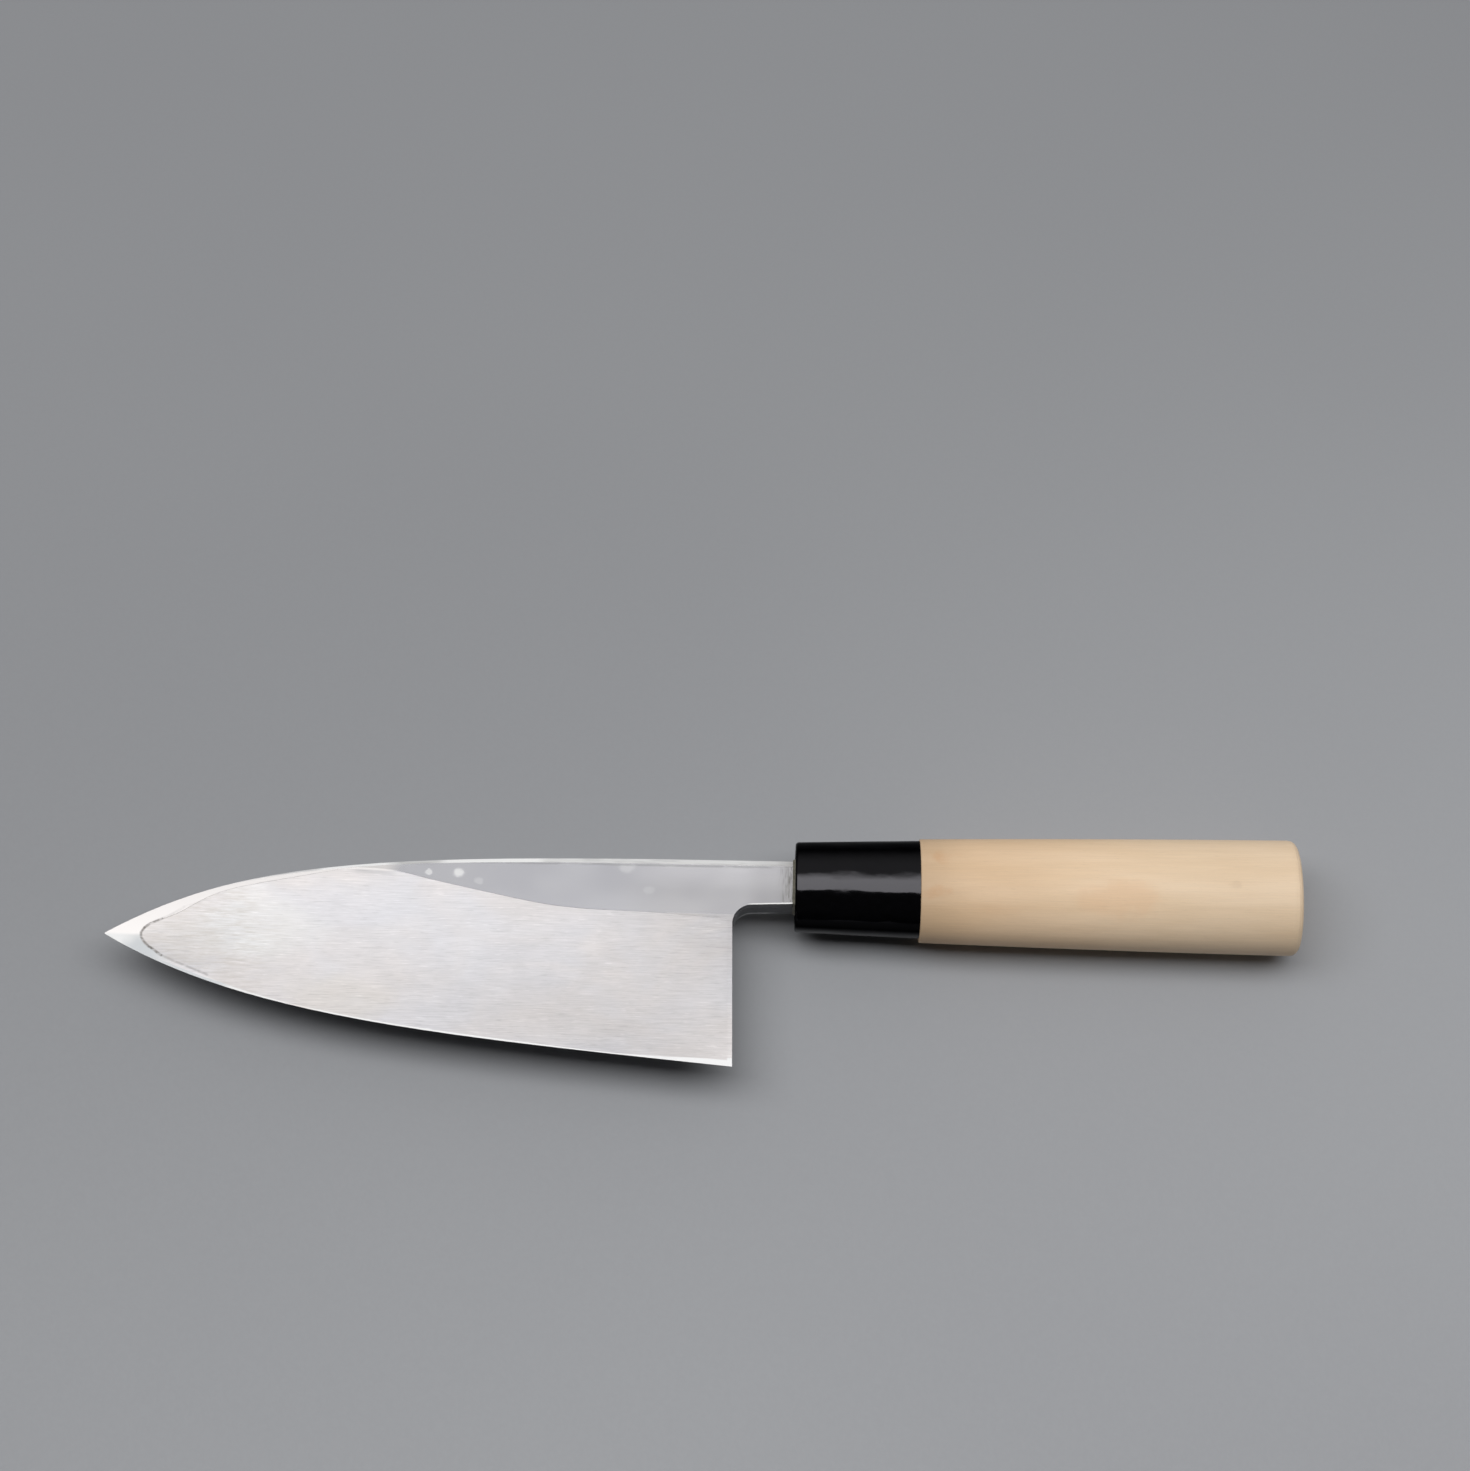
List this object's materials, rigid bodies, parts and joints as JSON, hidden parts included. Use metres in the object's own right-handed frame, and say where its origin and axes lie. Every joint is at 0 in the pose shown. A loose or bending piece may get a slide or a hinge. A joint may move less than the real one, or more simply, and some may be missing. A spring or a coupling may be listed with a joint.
{
  "type": "deba knife",
  "caption": "Heavy right-handed single-bevel fish knife with a hollow-ground flat face and an oval wooden handle with a black ferrule.",
  "frame": {"origin": "centre of the overall box in X and Y, at the underside of the handle", "axes": "+X along the handle from the tip to the butt, +Y from the cutting edge to the spine, +Z out of the hollow-ground flat face"},
  "size_m": [0.3076, 0.0654, 0.025],
  "materials": {
    "hard_steel": "fine lengthwise grinding lines in the hollow, smoother grey flat above it",
    "soft_iron": "satin, with slightly brighter broken corners",
    "sealing_resin": "dull, hand-applied",
    "bedding_resin": "dull",
    "black_plastic": "polished, moulded",
    "pale_wood": "bare, finely sanded, fine straight grain along the handle"
  },
  "bodies": {
    "root": {"edge_steel": "hard_steel", "blade_body": "soft_iron", "mouth_seal": "sealing_resin", "tang_bedding": "bedding_resin", "ferrule": "black_plastic", "handle": "pale_wood"}
  },
  "joints": []
}
